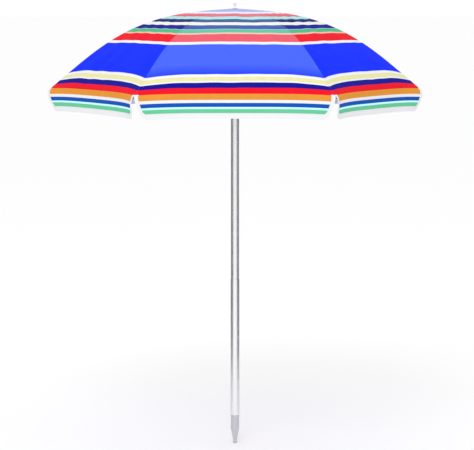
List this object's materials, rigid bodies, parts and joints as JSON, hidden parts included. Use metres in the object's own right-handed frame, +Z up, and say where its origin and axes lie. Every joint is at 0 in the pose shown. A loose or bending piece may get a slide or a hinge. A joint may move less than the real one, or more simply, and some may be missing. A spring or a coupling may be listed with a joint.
{
  "type": "beach umbrella",
  "caption": "Beach umbrella with a striped six-rib canopy and valance, a sliding runner, a two-piece pole and a ground spike.",
  "frame": {"origin": "centre of the ground spike's flat end, on the pole's axis", "axes": "+Z up the pole, +X along the first rib; the object's front is -Y, with a panel facing it"},
  "size_m": [1.561, 1.3578, 1.8598],
  "materials": {
    "canopy_cloth": "woven polyester in concentric stripes of blue, white, red, green, orange and yellow, white binding",
    "aluminium_tube": "drawn tube, bright satin",
    "spike_metal": "turned, satin",
    "steel_rod": "zinc plated",
    "white_plastic": "moulded, semi-gloss"
  },
  "bodies": {
    "lower_pole": {"lower_pole": "aluminium_tube", "ground_spike": "spike_metal"},
    "pole_foot": {"pole_foot_bush": "white_plastic"},
    "upper_pole": {"upper_pole": "aluminium_tube", "crown_hub": "white_plastic", "crown_ring_wire": "steel_rod", "canopy_top_patch": "white_plastic", "finial": "white_plastic"},
    "runner": {"runner": "white_plastic", "runner_ring_wire": "steel_rod"},
    "catch": {"runner_catch": "steel_rod"},
    "rib_1": {"rib_1_inner": "steel_rod", "rib_1_bracket": "steel_rod", "stretcher_1_rivet": "steel_rod"},
    "rib_1_tip": {"rib_1_outer": "steel_rod", "rib_1_tip_cap": "white_plastic"},
    "stretcher_1": {"stretcher_1": "steel_rod"},
    "panel_1_left": {"panel_1_left": "canopy_cloth"},
    "panel_1_right": {"panel_1_right": "canopy_cloth"},
    "rib_2": {"rib_2_inner": "steel_rod", "rib_2_bracket": "steel_rod", "stretcher_2_rivet": "steel_rod"},
    "rib_2_tip": {"rib_2_outer": "steel_rod", "rib_2_tip_cap": "white_plastic"},
    "stretcher_2": {"stretcher_2": "steel_rod"},
    "panel_2_left": {"panel_2_left": "canopy_cloth"},
    "panel_2_right": {"panel_2_right": "canopy_cloth"},
    "rib_3": {"rib_3_inner": "steel_rod", "rib_3_bracket": "steel_rod", "stretcher_3_rivet": "steel_rod"},
    "rib_3_tip": {"rib_3_outer": "steel_rod", "rib_3_tip_cap": "white_plastic"},
    "stretcher_3": {"stretcher_3": "steel_rod"},
    "panel_3_left": {"panel_3_left": "canopy_cloth"},
    "panel_3_right": {"panel_3_right": "canopy_cloth"},
    "rib_4": {"rib_4_inner": "steel_rod", "rib_4_bracket": "steel_rod", "stretcher_4_rivet": "steel_rod"},
    "rib_4_tip": {"rib_4_outer": "steel_rod", "rib_4_tip_cap": "white_plastic"},
    "stretcher_4": {"stretcher_4": "steel_rod"},
    "panel_4_left": {"panel_4_left": "canopy_cloth"},
    "panel_4_right": {"panel_4_right": "canopy_cloth"},
    "rib_5": {"rib_5_inner": "steel_rod", "rib_5_bracket": "steel_rod", "stretcher_5_rivet": "steel_rod"},
    "rib_5_tip": {"rib_5_outer": "steel_rod", "rib_5_tip_cap": "white_plastic"},
    "stretcher_5": {"stretcher_5": "steel_rod"},
    "panel_5_left": {"panel_5_left": "canopy_cloth"},
    "panel_5_right": {"panel_5_right": "canopy_cloth"},
    "rib_6": {"rib_6_inner": "steel_rod", "rib_6_bracket": "steel_rod", "stretcher_6_rivet": "steel_rod"},
    "rib_6_tip": {"rib_6_outer": "steel_rod", "rib_6_tip_cap": "white_plastic"},
    "stretcher_6": {"stretcher_6": "steel_rod"},
    "panel_6_left": {"panel_6_left": "canopy_cloth"},
    "panel_6_right": {"panel_6_right": "canopy_cloth"}
  },
  "joints": [
    {"name": "pole_pull", "type": "slide", "parent": "lower_pole", "child": "pole_foot", "axis": [0, 0, 1], "range_m": [0, 0.15]},
    {"name": "pole_turn", "type": "hinge", "parent": "pole_foot", "child": "upper_pole", "pos_m": [0, 0, 0.54], "axis": [0, 0, 1], "continuous": true},
    {"name": "runner_slide", "type": "slide", "parent": "upper_pole", "child": "runner", "axis": [0, 0, -1], "range_m": [0, 0.488], "deforming": ["panel_1_left", "panel_1_right", "panel_2_left", "panel_2_right", "panel_3_left", "panel_3_right", "panel_4_left", "panel_4_right", "panel_5_left", "panel_5_right", "panel_6_left", "panel_6_right", "runner_catch"]},
    {"name": "catch_press", "type": "slide", "parent": "upper_pole", "child": "catch", "axis": [0, 1, 0], "range_m": [0, 0.004], "stiffness_N_per_m": 1500},
    {"name": "rib_1_fold", "type": "hinge", "parent": "upper_pole", "child": "rib_1", "pos_m": [0.027, 0, 1.812], "axis": [0, 1, 0], "range_deg": [0, 78.65]},
    {"name": "rib_1_flex", "type": "hinge", "parent": "rib_1", "child": "rib_1_tip", "pos_m": [0.38231, 0, 1.75877], "axis": [0, 1, 0], "range_deg": [-21.95, 0]},
    {"name": "stretcher_1_swing", "type": "hinge", "parent": "rib_1", "child": "stretcher_1", "pos_m": [0.37939, 0, 1.75133], "axis": [0, 1, 0], "range_deg": [-134.26, 0]},
    {"name": "panel_1_left_fold", "type": "hinge", "parent": "upper_pole", "child": "panel_1_left", "pos_m": [0, 0, 1.831], "axis": [0.456, 0.6021, -0.6554], "range_deg": [0, 92.11]},
    {"name": "panel_1_right_fold", "type": "hinge", "parent": "upper_pole", "child": "panel_1_right", "pos_m": [0, 0, 1.831], "axis": [-0.456, 0.6021, 0.6554], "range_deg": [0, 92.11]},
    {"name": "rib_2_fold", "type": "hinge", "parent": "upper_pole", "child": "rib_2", "pos_m": [0.0135, 0.02338, 1.812], "axis": [-0.866, 0.5, 0], "range_deg": [0, 78.65]},
    {"name": "rib_2_flex", "type": "hinge", "parent": "rib_2", "child": "rib_2_tip", "pos_m": [0.19115, 0.33109, 1.75877], "axis": [-0.866, 0.5, 0], "range_deg": [-21.95, 0]},
    {"name": "stretcher_2_swing", "type": "hinge", "parent": "rib_2", "child": "stretcher_2", "pos_m": [0.1897, 0.32856, 1.75133], "axis": [-0.866, 0.5, 0], "range_deg": [-134.26, 0]},
    {"name": "panel_2_left_fold", "type": "hinge", "parent": "upper_pole", "child": "panel_2_left", "pos_m": [0, 0, 1.831], "axis": [-0.2934, 0.696, -0.6554], "range_deg": [0, 92.11]},
    {"name": "panel_2_right_fold", "type": "hinge", "parent": "upper_pole", "child": "panel_2_right", "pos_m": [0, 0, 1.831], "axis": [-0.7494, -0.0939, 0.6554], "range_deg": [0, 92.11]},
    {"name": "rib_3_fold", "type": "hinge", "parent": "upper_pole", "child": "rib_3", "pos_m": [-0.0135, 0.02338, 1.812], "axis": [-0.866, -0.5, 0], "range_deg": [0, 78.65]},
    {"name": "rib_3_flex", "type": "hinge", "parent": "rib_3", "child": "rib_3_tip", "pos_m": [-0.19115, 0.33109, 1.75877], "axis": [-0.866, -0.5, 0], "range_deg": [-21.95, 0]},
    {"name": "stretcher_3_swing", "type": "hinge", "parent": "rib_3", "child": "stretcher_3", "pos_m": [-0.1897, 0.32856, 1.75133], "axis": [-0.866, -0.5, 0], "range_deg": [-134.26, 0]},
    {"name": "panel_3_left_fold", "type": "hinge", "parent": "upper_pole", "child": "panel_3_left", "pos_m": [0, 0, 1.831], "axis": [-0.7494, 0.0939, -0.6554], "range_deg": [0, 92.11]},
    {"name": "panel_3_right_fold", "type": "hinge", "parent": "upper_pole", "child": "panel_3_right", "pos_m": [0, 0, 1.831], "axis": [-0.2934, -0.696, 0.6554], "range_deg": [0, 92.11]},
    {"name": "rib_4_fold", "type": "hinge", "parent": "upper_pole", "child": "rib_4", "pos_m": [-0.027, 0, 1.812], "axis": [0, -1, 0], "range_deg": [0, 78.65]},
    {"name": "rib_4_flex", "type": "hinge", "parent": "rib_4", "child": "rib_4_tip", "pos_m": [-0.38231, 0, 1.75877], "axis": [0, -1, 0], "range_deg": [-21.95, 0]},
    {"name": "stretcher_4_swing", "type": "hinge", "parent": "rib_4", "child": "stretcher_4", "pos_m": [-0.37939, 0, 1.75133], "axis": [0, -1, 0], "range_deg": [-134.26, 0]},
    {"name": "panel_4_left_fold", "type": "hinge", "parent": "upper_pole", "child": "panel_4_left", "pos_m": [0, 0, 1.831], "axis": [-0.456, -0.6021, -0.6554], "range_deg": [0, 92.11]},
    {"name": "panel_4_right_fold", "type": "hinge", "parent": "upper_pole", "child": "panel_4_right", "pos_m": [0, 0, 1.831], "axis": [0.456, -0.6021, 0.6554], "range_deg": [0, 92.11]},
    {"name": "rib_5_fold", "type": "hinge", "parent": "upper_pole", "child": "rib_5", "pos_m": [-0.0135, -0.02338, 1.812], "axis": [0.866, -0.5, 0], "range_deg": [0, 78.65]},
    {"name": "rib_5_flex", "type": "hinge", "parent": "rib_5", "child": "rib_5_tip", "pos_m": [-0.19115, -0.33109, 1.75877], "axis": [0.866, -0.5, 0], "range_deg": [-21.95, 0]},
    {"name": "stretcher_5_swing", "type": "hinge", "parent": "rib_5", "child": "stretcher_5", "pos_m": [-0.1897, -0.32856, 1.75133], "axis": [0.866, -0.5, 0], "range_deg": [-134.26, 0]},
    {"name": "panel_5_left_fold", "type": "hinge", "parent": "upper_pole", "child": "panel_5_left", "pos_m": [0, 0, 1.831], "axis": [0.2934, -0.696, -0.6554], "range_deg": [0, 92.11]},
    {"name": "panel_5_right_fold", "type": "hinge", "parent": "upper_pole", "child": "panel_5_right", "pos_m": [0, 0, 1.831], "axis": [0.7494, 0.0939, 0.6554], "range_deg": [0, 92.11]},
    {"name": "rib_6_fold", "type": "hinge", "parent": "upper_pole", "child": "rib_6", "pos_m": [0.0135, -0.02338, 1.812], "axis": [0.866, 0.5, 0], "range_deg": [0, 78.65]},
    {"name": "rib_6_flex", "type": "hinge", "parent": "rib_6", "child": "rib_6_tip", "pos_m": [0.19115, -0.33109, 1.75877], "axis": [0.866, 0.5, 0], "range_deg": [-21.95, 0]},
    {"name": "stretcher_6_swing", "type": "hinge", "parent": "rib_6", "child": "stretcher_6", "pos_m": [0.1897, -0.32856, 1.75133], "axis": [0.866, 0.5, 0], "range_deg": [-134.26, 0]},
    {"name": "panel_6_left_fold", "type": "hinge", "parent": "upper_pole", "child": "panel_6_left", "pos_m": [0, 0, 1.831], "axis": [0.7494, -0.0939, -0.6554], "range_deg": [0, 92.11]},
    {"name": "panel_6_right_fold", "type": "hinge", "parent": "upper_pole", "child": "panel_6_right", "pos_m": [0, 0, 1.831], "axis": [0.2934, 0.696, 0.6554], "range_deg": [0, 92.11]}
  ],
  "couplings": [
    {"joint": "rib_1_fold", "follows": "runner_slide", "rad_per_m": 2.8111},
    {"joint": "rib_1_flex", "follows": "runner_slide", "rad_per_m": -0.78325},
    {"joint": "stretcher_1_swing", "follows": "runner_slide", "rad_per_m": -4.8002},
    {"joint": "panel_1_left_fold", "follows": "runner_slide", "rad_per_m": 3.2925},
    {"joint": "panel_1_right_fold", "follows": "runner_slide", "rad_per_m": 3.2925},
    {"joint": "rib_2_fold", "follows": "runner_slide", "rad_per_m": 2.8111},
    {"joint": "rib_2_flex", "follows": "runner_slide", "rad_per_m": -0.78325},
    {"joint": "stretcher_2_swing", "follows": "runner_slide", "rad_per_m": -4.8002},
    {"joint": "panel_2_left_fold", "follows": "runner_slide", "rad_per_m": 3.2925},
    {"joint": "panel_2_right_fold", "follows": "runner_slide", "rad_per_m": 3.2925},
    {"joint": "rib_3_fold", "follows": "runner_slide", "rad_per_m": 2.8111},
    {"joint": "rib_3_flex", "follows": "runner_slide", "rad_per_m": -0.78325},
    {"joint": "stretcher_3_swing", "follows": "runner_slide", "rad_per_m": -4.8002},
    {"joint": "panel_3_left_fold", "follows": "runner_slide", "rad_per_m": 3.2925},
    {"joint": "panel_3_right_fold", "follows": "runner_slide", "rad_per_m": 3.2925},
    {"joint": "rib_4_fold", "follows": "runner_slide", "rad_per_m": 2.8111},
    {"joint": "rib_4_flex", "follows": "runner_slide", "rad_per_m": -0.78325},
    {"joint": "stretcher_4_swing", "follows": "runner_slide", "rad_per_m": -4.8002},
    {"joint": "panel_4_left_fold", "follows": "runner_slide", "rad_per_m": 3.2925},
    {"joint": "panel_4_right_fold", "follows": "runner_slide", "rad_per_m": 3.2925},
    {"joint": "rib_5_fold", "follows": "runner_slide", "rad_per_m": 2.8111},
    {"joint": "rib_5_flex", "follows": "runner_slide", "rad_per_m": -0.78325},
    {"joint": "stretcher_5_swing", "follows": "runner_slide", "rad_per_m": -4.8002},
    {"joint": "panel_5_left_fold", "follows": "runner_slide", "rad_per_m": 3.2925},
    {"joint": "panel_5_right_fold", "follows": "runner_slide", "rad_per_m": 3.2925},
    {"joint": "rib_6_fold", "follows": "runner_slide", "rad_per_m": 2.8111},
    {"joint": "rib_6_flex", "follows": "runner_slide", "rad_per_m": -0.78325},
    {"joint": "stretcher_6_swing", "follows": "runner_slide", "rad_per_m": -4.8002},
    {"joint": "panel_6_left_fold", "follows": "runner_slide", "rad_per_m": 3.2925},
    {"joint": "panel_6_right_fold", "follows": "runner_slide", "rad_per_m": 3.2925}
  ]
}
